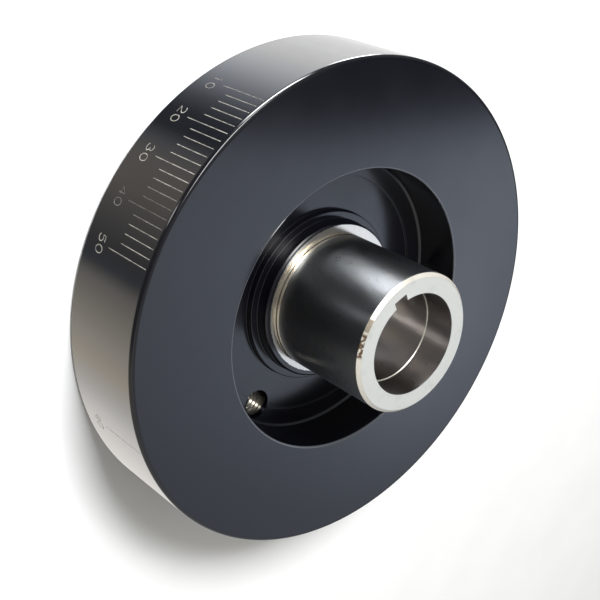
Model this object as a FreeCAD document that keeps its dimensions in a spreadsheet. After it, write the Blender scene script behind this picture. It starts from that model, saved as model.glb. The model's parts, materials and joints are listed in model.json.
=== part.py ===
"""Sealed viscous harmonic balancer for an engine crank, 6 1/4 in across.

Frame: +Z is the crank axis, from the pulley side to the engine side. The origin is the centre of the
pulley-side face, on which the balancer lies. +Y runs through the keyway. Millimetres.
"""
import FreeCAD, Part
import math
import os
import re

import Sketcher

PAD_COUNT = 6
TAPPED_HOLE_COUNT = 3

# Each size is a name, a value and what it measures.
SIZES = [
    ("outer_diameter", 158.75, "across the rim"),
    ("rim_width", 31.75, "pulley-side face to engine-side face"),
    ("engine_edge_break", 1.2, "chamfer on the rim's engine-side edge"),
    ("pulley_edge_break", 1.0, "chamfer on the rim's pulley-side edge"),
    ("rim_wall", 4.9, "wall between the rim's surface and the fluid chamber"),
    ("engine_wall", 5.0, "wall between the engine-side face and the fluid chamber"),
    ("recess_diameter", 92.0, "engine-side recess round the snout"),
    ("recess_depth", 16.3, "engine-side face to the outer web face"),
    ("recess_edge_break", 0.4, "chamfer where the recess meets the face"),
    ("recess_corner_cone", 0.7, "turned cone between the recess wall and the web"),
    ("recess_wall", 5.0, "wall between the recess and the fluid chamber"),
    ("relief_margin", 6.2, "recess wall to the edge of the turned relief in the web"),
    ("relief_depth", 0.6, "depth of that relief"),
    ("dish_depth", 5.0, "pulley-side face to the pulley seat, which is as wide as the recess"),
    ("boss_diameter", 51.6, "boss round the snout's root"),
    ("boss_drop", 10.5, "engine-side face down to the bare shoulder"),
    ("boss_step_width", 2.5, "flat step round the boss's foot"),
    ("boss_step_height", 2.15, "that step above the relief's floor"),
    ("boss_edge_break", 0.5, "chamfer on the shoulder's outer edge"),
    ("snout_diameter", 44.45, "ground surface under the oil seal"),
    ("snout_reach", 27.0, "engine-side face up to the snout's end"),
    ("snout_edge_break", 1.0, "chamfer on the snout's end"),
    ("root_groove_depth", 0.35, "grinding relief at the snout's root"),
    ("root_groove_width", 1.2, "height of that relief above the shoulder"),
    ("bore_diameter", 31.7, "press fit on the crank"),
    ("lead_in_clearance", 0.25, "how far the bore's wider mouth stands clear of the crank"),
    ("lead_in_length", 10.0, "length of that mouth"),
    ("lead_in_step", 0.3, "length of the cone between mouth and bore"),
    ("bolt_seat_diameter", 41.0, "counterbore for the crank bolt's washer"),
    ("bolt_seat_depth", 6.35, "pulley seat to the washer's seat"),
    ("key_width", 4.76, "keyway across"),
    ("key_depth", 2.35, "bore's wall to the keyway's floor"),
    ("tapped_hole_diameter", 9.525, "3/8 in tapped holes, over the thread"),
    ("tapped_hole_margin", 0.95, "tapped hole to the recess wall"),
    ("tapped_edge_break", 0.5, "countersink on each tapped hole"),
    ("cover_thickness", 4.75, "welded cover"),
    ("cover_seat_width", 2.0, "ledge that the cover rests on, inner and outer"),
    ("cover_clearance", 0.03, "slip fit of the cover in its seat"),
    ("weld_width", 0.8, "half of each weld seam's width, and its depth"),
    ("weld_sink", 0.15, "weld surface below the pulley-side face"),
    ("plug_diameter", 8.0, "fill and vent plugs"),
    ("plug_sink", 0.4, "plug short of the cover's two faces"),
    ("plug_clearance", 0.05, "round each plug"),
    ("plug_socket_across", 4.0, "hexagon socket, across its flats"),
    ("plug_socket_depth", 2.2, "depth of that socket"),
    ("side_gap", 0.5, "fluid film between the ring's faces and the chamber"),
    ("outer_gap", 0.4, "fluid film between the ring and the rim wall"),
    ("inner_gap", 0.5, "fluid film between the ring's bore and the recess wall"),
    ("journal_thickness", 1.6, "wall of the bearing band"),
    ("journal_width", 12.0, "width of the bearing band"),
    ("journal_running_gap", 0.1, "bearing band to the recess wall"),
    ("journal_split", 2.0, "gap where the bearing band is split"),
    ("seat_clearance", 0.03, "round a bearing piece in its seat"),
    ("pad_diameter", 10.0, "thrust button"),
    ("pad_pocket_depth", 2.0, "pocket that a thrust button sits in"),
    ("pad_proud", 0.2, "thrust button above the ring's face"),
]

# Radii and heights that follow from the sizes above.
OUTER = "outer_diameter / 2"
RECESS = "recess_diameter / 2"
RELIEF = f"({RECESS} - relief_margin)"
BOSS = "boss_diameter / 2"
BOSS_STEP = f"({BOSS} + boss_step_width)"
SNOUT = "snout_diameter / 2"
BORE = "bore_diameter / 2"
LEAD_IN = f"({BORE} + lead_in_clearance)"
KEY_FLOOR = f"({BORE} + key_depth)"
TAPPED_CIRCLE = f"({RECESS} - tapped_hole_margin - tapped_hole_diameter / 2)"
CHAMBER_OUT = "(outer_diameter / 2 - rim_wall)"
CHAMBER_IN = "(recess_diameter / 2 + recess_wall)"
COVER_OUT = f"({CHAMBER_OUT} + cover_seat_width)"
COVER_IN = f"({CHAMBER_IN} - cover_seat_width)"
CHAMBER_TOP = "(rim_width - engine_wall)"
WEB_FACE = "(rim_width - recess_depth)"
RELIEF_FACE = f"({WEB_FACE} - relief_depth)"
STEP_FACE = f"({RELIEF_FACE} + boss_step_height)"
SHOULDER = "(rim_width - boss_drop)"
GROOVE_TOP = f"({SHOULDER} + root_groove_width)"
SNOUT_END = "(rim_width + snout_reach)"
LEAD_IN_END = f"({SNOUT_END} - lead_in_length)"
BOLT_SEAT = "(dish_depth + bolt_seat_depth)"
RING_IN = f"({CHAMBER_IN} + inner_gap)"
RING_OUT = f"({CHAMBER_OUT} - outer_gap)"
RING_WIDTH = f"({CHAMBER_TOP} - cover_thickness - 2 * side_gap)"
RING_START = "(cover_thickness + side_gap)"
JOURNAL_IN = f"({CHAMBER_IN} + journal_running_gap)"
JOURNAL_OUT = f"({JOURNAL_IN} + journal_thickness)"
RING_MIDDLE = f"(({RING_IN} + {RING_OUT}) / 2)"
PLUG_LENGTH = "(cover_thickness - 2 * plug_sink)"

document = FreeCAD.newDocument("HarmonicBalancer")
sheet = document.addObject("Spreadsheet::Sheet", "Sizes")
for row, (alias, size, meaning) in enumerate(SIZES, start=1):
    sheet.set(f"A{row}", alias)
    sheet.set(f"B{row}", str(size))
    sheet.set(f"C{row}", meaning)
    sheet.setAlias(f"B{row}", alias)
document.recompute()


def bound(expression):
    """The expression as other objects see it, with every alias, a name of two words or more, on the sheet."""
    return re.sub(r"[a-z]+(_[a-z]+)+", r"Sizes.\g<0>", expression)


def value(expression):
    """What the expression comes to with the sheet's present sizes."""
    return float(sheet.evalExpression(expression))


def new_body(name):
    body = document.addObject("PartDesign::Body", name)
    body.Label = name
    return body


def new_sketch(body, name, plane, height=None):
    """A sketch on one of the body's own origin planes, lifted to a height where one is given."""
    sketch = body.newObject("Sketcher::SketchObject", f"{body.Name}_{name}")
    support = next(item for item in body.Origin.OriginFeatures if item.Role == plane)
    sketch.AttachmentSupport = [(support, "")]
    sketch.MapMode = "FlatFace"
    if height:
        sketch.setExpression("AttachmentOffset.Base.z", bound(height))
    return sketch


def constrain(sketch, kind, places, expression):
    """Adds a distance or radius constraint that follows the sheet."""
    index = sketch.addConstraint(Sketcher.Constraint(kind, *places, value(expression)))
    sketch.setExpression(f"Constraints[{index}]", bound(expression))


def draw_outline(sketch, corners):
    """A closed outline of straight lines, with each corner placed by its two expressions."""
    spots = [FreeCAD.Vector(value(across), value(up), 0) for across, up in corners]
    lines = [Part.LineSegment(spots[i - 1], spots[i]) for i in range(len(spots))]
    first = sketch.addGeometry(lines, False)[0]
    for i, (across, up) in enumerate(corners):
        following = (i + 1) % len(corners)
        sketch.addConstraint(Sketcher.Constraint("Coincident", first + i, 2, first + following, 1))
        constrain(sketch, "DistanceX", (-1, 1, first + i, 2), across)
        constrain(sketch, "DistanceY", (-1, 1, first + i, 2), up)


def draw_circle(sketch, across, up, diameter):
    centre = FreeCAD.Vector(value(across), value(up), 0)
    circle = sketch.addGeometry(Part.Circle(centre, FreeCAD.Vector(0, 0, 1), value(diameter) / 2), False)
    constrain(sketch, "Diameter", (circle,), diameter)
    constrain(sketch, "DistanceX", (-1, 1, circle, 3), across)
    constrain(sketch, "DistanceY", (-1, 1, circle, 3), up)


def turn(body, corners):
    """The body's first solid: an outline of radius and height, turned about the crank axis."""
    sketch = new_sketch(body, "section", "XZ_Plane")
    draw_outline(sketch, corners)
    solid = body.newObject("PartDesign::Revolution", f"{body.Name}_turned")
    solid.Profile = sketch
    solid.ReferenceAxis = (sketch, ["V_Axis"])
    solid.Angle = 360
    sketch.Visibility = False
    document.recompute()
    return solid


def cut(body, name, sketch, depth, upwards):
    """A pocket of the given depth, checked to remove material."""
    before = body.Shape.Volume
    pocket = body.newObject("PartDesign::Pocket", f"{body.Name}_{name}")
    pocket.Profile = sketch
    pocket.Reversed = upwards
    pocket.setExpression("Length", bound(depth))
    sketch.Visibility = False
    document.recompute()
    if body.Shape.Volume >= before:
        raise RuntimeError(f"{pocket.Name} removed nothing")
    return pocket


def repeat_round(body, name, features, count):
    """Repeats the features evenly round the crank axis."""
    axis = next(item for item in body.Origin.OriginFeatures if item.Role == "Z_Axis")
    pattern = body.newObject("PartDesign::PolarPattern", f"{body.Name}_{name}")
    pattern.Originals = features
    pattern.Axis = (axis, [""])
    pattern.Angle = 360
    pattern.Occurrences = count
    body.Tip = pattern
    document.recompute()
    return pattern


def circles_at(solid, places, from_axis="0"):
    """Names of the round edges at each (radius, height), centred the given distance from the crank axis."""
    names = []
    for radius, height in places:
        wanted = (value(radius), value(height), value(from_axis))
        for number, edge in enumerate(solid.Shape.Edges, start=1):
            if not isinstance(edge.Curve, Part.Circle):
                continue
            centre = edge.Curve.Center
            found = (edge.Curve.Radius, centre.z, math.hypot(centre.x, centre.y))
            if all(abs(a - b) < 1e-4 for a, b in zip(found, wanted)):
                names.append(f"Edge{number}")
    return names


def ease(body, name, size, places, from_axis="0"):
    """Chamfers the round edges at the given places."""
    base = body.Tip
    edges = circles_at(base, places, from_axis)
    if len(edges) < len(places):
        raise RuntimeError(f"{body.Name}_{name} finds {len(edges)} of {len(places)} edges")
    feature = body.newObject("PartDesign::Chamfer", f"{body.Name}_{name}")
    feature.Base = (base, edges)
    feature.setExpression("Size", bound(size))
    body.Tip = feature
    document.recompute()
    return feature


def make_housing():
    """Rim, engine wall, recess, web, boss and snout, turned from one forging."""
    body = new_body("housing")
    turn(body, [
        ("bolt_seat_diameter / 2", "dish_depth"),
        (RECESS, "dish_depth"),
        (RECESS, "0"),
        (f"{COVER_IN} - weld_width", "0"),
        (COVER_IN, "weld_width"),
        (COVER_IN, "cover_thickness"),
        (CHAMBER_IN, "cover_thickness"),
        (CHAMBER_IN, CHAMBER_TOP),
        (CHAMBER_OUT, CHAMBER_TOP),
        (CHAMBER_OUT, "cover_thickness"),
        (COVER_OUT, "cover_thickness"),
        (COVER_OUT, "weld_width"),
        (f"{COVER_OUT} + weld_width", "0"),
        (OUTER, "0"),
        (OUTER, "rim_width"),
        (RECESS, "rim_width"),
        (RECESS, WEB_FACE),
        (RELIEF, WEB_FACE),
        (RELIEF, RELIEF_FACE),
        (BOSS_STEP, RELIEF_FACE),
        (BOSS_STEP, STEP_FACE),
        (BOSS, STEP_FACE),
        (BOSS, SHOULDER),
        (f"{SNOUT} - root_groove_depth", SHOULDER),
        (f"{SNOUT} - root_groove_depth", GROOVE_TOP),
        (SNOUT, f"{GROOVE_TOP} + root_groove_depth"),
        (SNOUT, SNOUT_END),
        (LEAD_IN, SNOUT_END),
        (LEAD_IN, LEAD_IN_END),
        (BORE, f"{LEAD_IN_END} - lead_in_step"),
        (BORE, BOLT_SEAT),
        ("bolt_seat_diameter / 2", BOLT_SEAT),
    ])
    ease(body, "engine_edge", "engine_edge_break", [(OUTER, "rim_width")])
    ease(body, "pulley_edge", "pulley_edge_break", [(OUTER, "0")])
    ease(body, "recess_corner", "recess_corner_cone", [(RECESS, WEB_FACE)])
    ease(body, "recess_edge", "recess_edge_break", [(RECESS, "rim_width")])
    ease(body, "boss_edge", "boss_edge_break", [(BOSS, SHOULDER)])
    ease(body, "snout_edge", "snout_edge_break", [(SNOUT, SNOUT_END)])

    # The keyway runs the whole length of the bore.
    keyway = new_sketch(body, "keyway", "XY_Plane")
    draw_outline(keyway, [
        ("key_width / 2", "0"),
        ("key_width / 2", KEY_FLOOR),
        ("-key_width / 2", KEY_FLOOR),
        ("-key_width / 2", "0"),
    ])
    cut(body, "key", keyway, SNOUT_END, upwards=True)

    # One tapped hole lies in line with the keyway. The thread itself isn't in the solid.
    hole = new_sketch(body, "tapped_hole", "XY_Plane")
    draw_circle(hole, "0", TAPPED_CIRCLE, "tapped_hole_diameter")
    drilled = cut(body, "tap", hole, "rim_width", upwards=True)
    repeat_round(body, "taps", [drilled], TAPPED_HOLE_COUNT)
    mouths = [("tapped_hole_diameter / 2", "dish_depth")]
    ease(body, "tap_edges", "tapped_edge_break", mouths, TAPPED_CIRCLE)
    return body


def make_front_cover():
    """Flat ring that closes the fluid chamber, with a hole for each plug."""
    body = new_body("front_cover")
    inner = f"({COVER_IN} + cover_clearance)"
    outer = f"({COVER_OUT} - cover_clearance)"
    turn(body, [
        (f"{inner} + weld_width", "0"),
        (f"{outer} - weld_width", "0"),
        (outer, "weld_width"),
        (outer, "cover_thickness"),
        (inner, "cover_thickness"),
        (inner, "weld_width"),
    ])
    holes = new_sketch(body, "plug_holes", "XY_Plane")
    for side in ("", "-"):
        draw_circle(holes, f"{side}{RING_MIDDLE}", "0", "plug_diameter + 2 * plug_clearance")
    cut(body, "plugs", holes, "cover_thickness", upwards=True)
    return body


def make_weld(name, seam_radius, cover_side):
    """Weld metal in the vee between the housing and the cover. cover_side is 1 where the cover is further out."""
    body = new_body(name)
    turn(body, [
        (f"{seam_radius} - {cover_side} * (weld_width - weld_sink)", "weld_sink"),
        (f"{seam_radius} + {cover_side} * (weld_width - weld_sink)", "weld_sink"),
        (seam_radius, "weld_width"),
    ])
    return body


def make_plug(name, side):
    """Screw plug with a hexagon socket, flush in the cover. side is 1 or -1 along X."""
    body = new_body(name)
    outline = new_sketch(body, "outline", "XY_Plane")
    draw_circle(outline, "0", "0", "plug_diameter")
    blank = body.newObject("PartDesign::Pad", f"{name}_blank")
    blank.Profile = outline
    blank.setExpression("Length", bound(PLUG_LENGTH))
    outline.Visibility = False
    document.recompute()
    socket = new_sketch(body, "socket", "XY_Plane")
    corner = "plug_socket_across / sqrt(3)"
    draw_outline(socket, [(f"{corner} * cos({60 * i})", f"{corner} * sin({60 * i})") for i in range(6)])
    cut(body, "socket_cut", socket, "plug_socket_depth", upwards=True)
    body.setExpression("Placement.Base.x", bound(f"{side} * {RING_MIDDLE}"))
    body.setExpression("Placement.Base.z", bound("plug_sink"))
    return body


def make_inertia_ring():
    """Heavy ring with a seat for the bearing band in its bore and a pocket for each thrust button."""
    body = new_body("inertia_ring")
    seat_floor = f"({JOURNAL_OUT} + seat_clearance)"
    seat_half = "(journal_width / 2 + seat_clearance)"
    turn(body, [
        (RING_IN, "0"),
        (RING_OUT, "0"),
        (RING_OUT, RING_WIDTH),
        (RING_IN, RING_WIDTH),
        (RING_IN, f"{RING_WIDTH} / 2 + {seat_half}"),
        (seat_floor, f"{RING_WIDTH} / 2 + {seat_half}"),
        (seat_floor, f"{RING_WIDTH} / 2 - {seat_half}"),
        (RING_IN, f"{RING_WIDTH} / 2 - {seat_half}"),
    ])
    pockets = []
    for end, height in (("front", None), ("rear", RING_WIDTH)):
        sketch = new_sketch(body, f"{end}_pocket", "XY_Plane", height)
        draw_circle(sketch, RING_MIDDLE, "0", "pad_diameter + 2 * seat_clearance")
        pockets.append(cut(body, f"{end}_seat", sketch, "pad_pocket_depth", upwards=height is None))
    repeat_round(body, "seats", pockets, PAD_COUNT)
    body.setExpression("Placement.Base.z", bound(RING_START))
    return body


def make_journal_bearing():
    """Split band that lines the ring's bore and rides on the chamber's inner wall."""
    body = new_body("journal_bearing")
    turn(body, [
        (JOURNAL_IN, "0"),
        (JOURNAL_OUT, "0"),
        (JOURNAL_OUT, "journal_width"),
        (JOURNAL_IN, "journal_width"),
    ])
    split = new_sketch(body, "split", "XY_Plane")
    draw_outline(split, [
        ("0", "journal_split / 2"),
        ("0", "-journal_split / 2"),
        (f"{JOURNAL_OUT} + journal_thickness", "-journal_split / 2"),
        (f"{JOURNAL_OUT} + journal_thickness", "journal_split / 2"),
    ])
    cut(body, "gap", split, "journal_width", upwards=True)
    body.setExpression("Placement.Base.z", bound(f"{RING_START} + ({RING_WIDTH} - journal_width) / 2"))
    return body


def make_thrust_pad(end, number):
    """Plastic button in its pocket. end is front, towards the cover, or rear, towards the engine wall."""
    name = f"thrust_pad_{end}_{number}"
    pad = document.addObject("Part::Cylinder", name)
    pad.Label = name
    pad.setExpression("Radius", bound("pad_diameter / 2"))
    pad.setExpression("Height", bound("pad_pocket_depth + pad_proud"))
    angle = 360 / PAD_COUNT * (number - 1)
    pad.setExpression("Placement.Base.x", bound(f"{RING_MIDDLE} * cos({angle})"))
    pad.setExpression("Placement.Base.y", bound(f"{RING_MIDDLE} * sin({angle})"))
    foot = {"front": f"{RING_START} - pad_proud", "rear": f"{RING_START} + {RING_WIDTH} - pad_pocket_depth"}
    pad.setExpression("Placement.Base.z", bound(foot[end]))
    return pad


nodes = [
    make_housing(),
    make_front_cover(),
    make_weld("outer_weld", COVER_OUT, -1),
    make_weld("inner_weld", COVER_IN, 1),
    make_plug("fill_plug", 1),
    make_plug("vent_plug", -1),
    make_inertia_ring(),
    make_journal_bearing(),
]
for pad_number in range(1, PAD_COUNT + 1):
    nodes.append(make_thrust_pad("front", pad_number))
    nodes.append(make_thrust_pad("rear", pad_number))
document.recompute()

for item in document.Objects:
    if "Invalid" in item.State or "Error" in item.State:
        raise RuntimeError(f"{item.Name} failed: {item.State}")
for node in nodes:
    if node.Shape.isNull() or not node.Shape.isValid() or len(node.Shape.Solids) != 1:
        raise RuntimeError(f"{node.Label} is not one valid solid")

os.makedirs("parts", exist_ok=True)
for node in nodes:
    node.Shape.exportStep(f"parts/{node.Label}.step")
    print(node.Label, round(node.Shape.Volume, 2))
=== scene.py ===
"""Looks of a sealed harmonic balancer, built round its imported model.

Metres. +Z is the crank axis, from the pulley side to the snout's end, and +Y runs through the keyway.
"""
import json
import math

import bmesh
import bpy
from mathutils import Matrix, Vector


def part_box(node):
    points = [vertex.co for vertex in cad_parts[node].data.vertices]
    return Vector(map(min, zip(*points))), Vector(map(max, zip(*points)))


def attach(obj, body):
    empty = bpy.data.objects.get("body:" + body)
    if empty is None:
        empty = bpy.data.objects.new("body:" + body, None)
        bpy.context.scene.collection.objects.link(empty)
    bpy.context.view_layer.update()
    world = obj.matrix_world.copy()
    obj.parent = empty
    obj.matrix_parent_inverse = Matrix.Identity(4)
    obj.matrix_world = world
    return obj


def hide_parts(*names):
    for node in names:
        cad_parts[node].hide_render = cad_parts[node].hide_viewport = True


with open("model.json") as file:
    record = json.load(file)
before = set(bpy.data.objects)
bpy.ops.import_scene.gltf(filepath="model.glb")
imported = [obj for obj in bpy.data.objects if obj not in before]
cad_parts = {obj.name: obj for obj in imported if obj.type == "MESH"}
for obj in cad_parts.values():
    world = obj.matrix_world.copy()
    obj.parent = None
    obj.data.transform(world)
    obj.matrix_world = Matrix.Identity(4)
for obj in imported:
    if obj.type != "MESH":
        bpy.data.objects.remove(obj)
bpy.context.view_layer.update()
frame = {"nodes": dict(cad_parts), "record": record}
nodes = frame["nodes"]
mounts = {mount["name"]: mount for mount in frame["record"]["mounts"]}
MM = 0.001

# Camera. It looks into the recess from beyond the snout's end, rolled so that the rim stands up in the
# picture, as in the photograph. That is a cut-out, so its centre lies left of the lens axis and above it.
CAMERA_PLACE = Vector((-0.13717, 0.21919, 0.25493))
CAMERA_RIGHT = Vector((0.69474, -0.23331, 0.68037))
CAMERA_DOWN = Vector((-0.59003, -0.72584, 0.35358))
LENS_MM = 65.95
SENSOR_MM = 36
LENS_SHIFT = (-0.1167, 0.0245)
camera_data = bpy.data.cameras.new("camera")
camera_data.lens = LENS_MM
camera_data.sensor_width = SENSOR_MM
camera_data.shift_x, camera_data.shift_y = LENS_SHIFT
camera_data.clip_start = 0.01
camera = bpy.data.objects.new("camera", camera_data)
bpy.context.scene.collection.objects.link(camera)
camera_back = CAMERA_DOWN.cross(CAMERA_RIGHT).normalized()
camera_turn = Matrix((CAMERA_RIGHT, -CAMERA_DOWN, camera_back)).transposed().to_4x4()
camera.matrix_world = Matrix.Translation(CAMERA_PLACE) @ camera_turn
bpy.context.scene.camera = camera

# Housing. One steel forging turned all over: rim, engine-side wall, recess, web, boss and snout. It is coated
# black, then the snout, its end, the bore and the shoulder round the snout's root are ground or turned bare.
housing_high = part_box("housing")[1]
RIM = housing_high.x
SNOUT_END = housing_high.z
BORE = mounts["crank_bore"]["dims"]["r_mm"] * MM
SNOUT = mounts["seal_surface"]["dims"]["r_mm"] * MM
DISH = mounts["pulley_seat"]["pos_m"][2]
WASHER = mounts["washer_seat"]["dims"]["r_mm"] * MM
WASHER_SEAT = DISH + mounts["washer_seat"]["dims"]["length_mm"] * MM
TAPPED_CIRCLE = mounts["pulley_bolts"]["dims"]["pcd_mm"] / 2 * MM
TAPPED_HOLE = mounts["pulley_bolts"]["dims"]["hole_r_mm"] * MM
TAPPED_ANGLES = [math.radians(90 + 120 * i) for i in range(mounts["pulley_bolts"]["dims"]["count"])]
ENGINE_FACE = 31.75 * MM
WEB = 15.45 * MM
RELIEF = 0.6 * MM
SHOULDER = 21.25 * MM
RECESS = 46 * MM
RELIEF_EDGE = 39.8 * MM
BOSS = 25.8 * MM
BOSS_STEP = BOSS + 2.5 * MM
STEP_FACE = WEB - RELIEF + 2.15 * MM
ENGINE_EDGE = 1.3 * MM
PULLEY_CHAMFER = 1.0 * MM
RECESS_EDGE = 0.45 * MM
WORN_DEPTH = 0.6 * MM
RECESS_CORNER = 0.7 * MM
BOSS_CHAMFER = 0.5 * MM
GROOVE = 0.35 * MM
GROOVE_WIDTH = 1.2 * MM
ROOT_SHADE_GROOVE = 22.0 * MM
SHADE_GROOVE_HALF = 0.11 * MM
SHADE_GROOVE_DEPTH = 0.35 * MM
SNOUT_CHAMFER = 1.0 * MM
MOUTH = 16.1 * MM
MOUTH_LENGTH = 10 * MM
MOUTH_STEP = 0.3 * MM
WELD = 0.8 * MM
COVER_IN = 49 * MM
COVER_OUT = 76.475 * MM
COVER = 4.75 * MM
CHAMBER_IN = 51 * MM
CHAMBER_OUT = 74.475 * MM
CHAMBER_TOP = 26.75 * MM
KEY_HALF = 2.38 * MM
KEY_FLOOR = 18.2 * MM
COLUMNS = 384
ARC_STEP_SIZE = 0.15 * MM
HOLD = 0.08 * MM
UV_LENGTH = 0.4 * math.tau


def place_node(tree, kind, inputs=(), **settings):
    """A node of that kind. An input given as an output is linked, and any other is set as a value."""
    made = tree.nodes.new(kind)
    for name, setting in settings.items():
        setattr(made, name, setting)
    for socket, given in dict(inputs).items():
        if isinstance(given, bpy.types.NodeSocket):
            tree.links.new(given, made.inputs[socket])
        else:
            made.inputs[socket].default_value = given
    return made


def sums(tree, operation, *terms):
    """The output of a Math node."""
    return place_node(tree, "ShaderNodeMath", enumerate(terms), operation=operation).outputs[0]


def spread(tree, level, low, high, to_low=0.0, to_high=1.0):
    """The level taken from low..high to to_low..to_high, with soft ends."""
    inputs = {"Value": level, "From Min": low, "From Max": high, "To Min": to_low, "To Max": to_high}
    return place_node(tree, "ShaderNodeMapRange", inputs, interpolation_type="SMOOTHSTEP").outputs[0]


def mixed(tree, share, first, second):
    """The first colour where the share is 0, the second where it is 1."""
    made = place_node(tree, "ShaderNodeMix", {"Factor": share}, data_type="RGBA")
    for socket, colour in ((made.inputs[6], first), (made.inputs[7], second)):
        if isinstance(colour, bpy.types.NodeSocket):
            tree.links.new(colour, socket)
        else:
            socket.default_value = (*colour, 1)
    return made.outputs[2]


def noise(tree, place, scale, detail=2.0, roughness=0.5):
    """A cloudy level between 0 and 1."""
    inputs = {"Vector": place, "Scale": scale, "Detail": detail, "Roughness": roughness}
    return place_node(tree, "ShaderNodeTexNoise", inputs).outputs["Fac"]


def object_place(tree):
    """The place on the piece."""
    return place_node(tree, "ShaderNodeTexCoord").outputs["Object"]


def height_of(tree, place):
    """How high the place is along the crank axis."""
    return place_node(tree, "ShaderNodeSeparateXYZ", {0: place}).outputs["Z"]


def from_axis(tree, place):
    """How far the place is from the crank axis."""
    flat = place_node(tree, "ShaderNodeVectorMath", {0: place, 1: (1, 1, 0)}, operation="MULTIPLY").outputs[0]
    return place_node(tree, "ShaderNodeVectorMath", {0: flat}, operation="LENGTH").outputs["Value"]


def angle_of(tree, place):
    """The place's angle round the crank axis in degrees, from +X towards the keyway."""
    parts = place_node(tree, "ShaderNodeSeparateXYZ", {0: place}).outputs
    return sums(tree, "DEGREES", sums(tree, "ARCTAN2", parts["Y"], parts["X"]))


def apart_from(tree, level, middle):
    """How far the level is from the middle, on either side."""
    return sums(tree, "ABSOLUTE", sums(tree, "SUBTRACT", level, middle))


def new_material(name, metallic, roughness, colour, ior=1.5, anisotropic=0.0):
    """A Principled material, with its tree, its shader and the place on the piece."""
    material = bpy.data.materials.new(name)
    material.use_nodes = True
    tree = material.node_tree
    shader = tree.nodes["Principled BSDF"]
    shader.inputs["Metallic"].default_value = metallic
    shader.inputs["Roughness"].default_value = roughness
    shader.inputs["Base Color"].default_value = (*colour, 1)
    shader.inputs["IOR"].default_value = ior
    shader.inputs["Anisotropic"].default_value = anisotropic
    return material, tree, shader, object_place(tree)


def link(tree, output, shader, socket):
    """Feeds the shader's socket from the output."""
    tree.links.new(output, shader.inputs[socket])


def bump(tree, shader, height, distance):
    """Raises the surface by the height level times the distance."""
    inputs = {"Height": height, "Distance": distance, "Strength": 1.0}
    link(tree, place_node(tree, "ShaderNodeBump", inputs).outputs[0], shader, "Normal")


def turning_marks(tree, along, pitch):
    """Uneven lines left by the tool, all the way round: noise that changes only with one distance."""
    line = place_node(tree, "ShaderNodeCombineXYZ", {"X": along}).outputs[0]
    return noise(tree, line, 1 / pitch, detail=3.0, roughness=0.7)


COATING = (0.002, 0.002, 0.004)
COATING_IOR = 1.75
RECESS_ROUGHNESS = 0.2


def coating(name, roughness, marks_along_axis=False, pitch=0.9 * MM, uneven=0.05):
    """Smooth black coating over turned steel: faint turning marks and slow waves in its gloss."""
    material, tree, shader, place = new_material(name, 0, roughness, COATING, COATING_IOR)
    along = height_of(tree, place) if marks_along_axis else from_axis(tree, place)
    marks = turning_marks(tree, along, pitch)
    cloud = noise(tree, place, 90, detail=4.0)
    gloss = sums(tree, "ADD", sums(tree, "MULTIPLY", marks, 0.5), sums(tree, "MULTIPLY", cloud, 0.5))
    link(tree, spread(tree, gloss, 0.25, 0.75, roughness - uneven, roughness + uneven), shader, "Roughness")
    bump(tree, shader, noise(tree, place, 1800, detail=2.0), 0.001 * MM)
    return material


face_coating = coating("face_coating", 0.11, uneven=0.02)
rim_coating = coating("rim_coating", 0.12, marks_along_axis=True, pitch=0.6 * MM, uneven=0.03)
recess_coating = coating("recess_coating", RECESS_ROUGHNESS, uneven=0.05)


STAIN = (0.45, 0.38, 0.28)
STEEL_MARKS = 0.35 * MM
GLOSS_SWING = 0.03
QUARTER_TURN = 0.25


def bare_steel(
    name, colour, roughness, metallic=1, anisotropic=0.0, marks_along_axis=False, stain=STAIN, stained=0.3
):
    """Bare steel with marks round the axis, a grain of tiny pits and a slight warm stain."""
    material, tree, shader, place = new_material(name, metallic, roughness, colour, anisotropic=anisotropic)
    along = height_of(tree, place) if marks_along_axis else from_axis(tree, place)
    marks = turning_marks(tree, along, STEEL_MARKS)
    grain = noise(tree, place, 2400, detail=3.0)
    mottle = noise(tree, place, 600, detail=4.0, roughness=0.6)
    patches = noise(tree, place, 130, detail=5.0, roughness=0.6)
    share = sums(tree, "MULTIPLY", spread(tree, patches, 0.5, 0.75), stained)
    link(tree, mixed(tree, share, colour, stain), shader, "Base Color")
    uneven = sums(tree, "ADD", sums(tree, "MULTIPLY", grain, 0.3), sums(tree, "MULTIPLY", marks, 0.35))
    uneven = sums(tree, "ADD", uneven, sums(tree, "MULTIPLY", mottle, 0.35))
    gloss = spread(tree, uneven, 0.35, 0.65, roughness - GLOSS_SWING, roughness + GLOSS_SWING)
    link(tree, gloss, shader, "Roughness")
    bump(tree, shader, uneven, 0.0006 * MM)
    if anisotropic:
        turned_way = place_node(tree, "ShaderNodeTangent", direction_type="UV_MAP", uv_map="turned")
        link(tree, turned_way.outputs[0], shader, "Tangent")
        shader.inputs["Anisotropic Rotation"].default_value = QUARTER_TURN
    return material


TURNED = 0.8
snout_steel = bare_steel("snout_steel", (0.35, 0.37, 0.39), 0.3, anisotropic=TURNED, marks_along_axis=True)
end_steel = bare_steel("end_steel", (0.93, 0.9, 0.79), 0.34, metallic=0.8)
chamfer_steel = bare_steel("chamfer_steel", (0.95, 0.9, 0.8), 0.3, metallic=0.6, stained=0.2)
shoulder_steel = bare_steel("shoulder_steel", (0.84, 0.79, 0.7), 0.19, metallic=0.95)
bore_steel = bare_steel("bore_steel", (0.36, 0.34, 0.33), 0.3, anisotropic=TURNED, marks_along_axis=True)
worn_edge = bare_steel("worn_edge", (0.15, 0.16, 0.18), 0.35, metallic=0.4, stained=0.1)


def paint_over(material, share, colour):
    """Takes the base colour to another one where the share is 1."""
    tree = material.node_tree
    shader = tree.nodes["Principled BSDF"]
    clean = shader.inputs["Base Color"].links[0].from_socket
    link(tree, mixed(tree, share, clean, colour), shader, "Base Color")


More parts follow.
